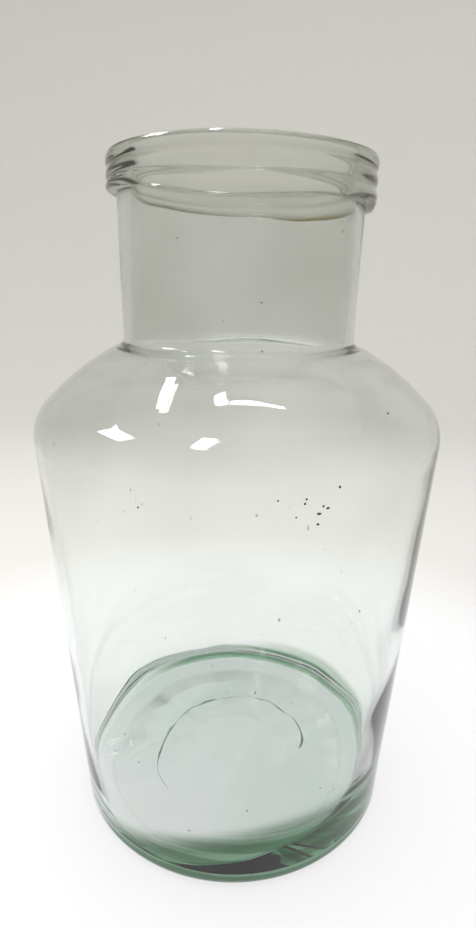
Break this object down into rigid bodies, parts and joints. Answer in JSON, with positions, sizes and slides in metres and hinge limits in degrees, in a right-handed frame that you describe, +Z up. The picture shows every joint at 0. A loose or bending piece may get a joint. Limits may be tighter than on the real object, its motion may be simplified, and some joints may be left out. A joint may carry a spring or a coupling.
{
  "type": "specimen jar",
  "caption": "Open hand-blown glass jar: wide body tapering to a thick base, sloping shoulder, short straight neck and a trailed, ridged lip round an open mouth.",
  "frame": {"origin": "centre of the resting ring, on the surface the jar stands on", "axes": "+Z up the jar's axis through the open mouth, -Y towards the front, +X to the right seen from the front"},
  "size_m": [0.193, 0.193, 0.32],
  "materials": {
    "vessel_glass": "glossy",
    "lip_glass": "glossy",
    "scar_glass": "rough"
  },
  "bodies": {
    "root": {"jar_vessel": "vessel_glass", "lip_trail": "lip_glass", "pontil_scar": "scar_glass"}
  },
  "joints": []
}
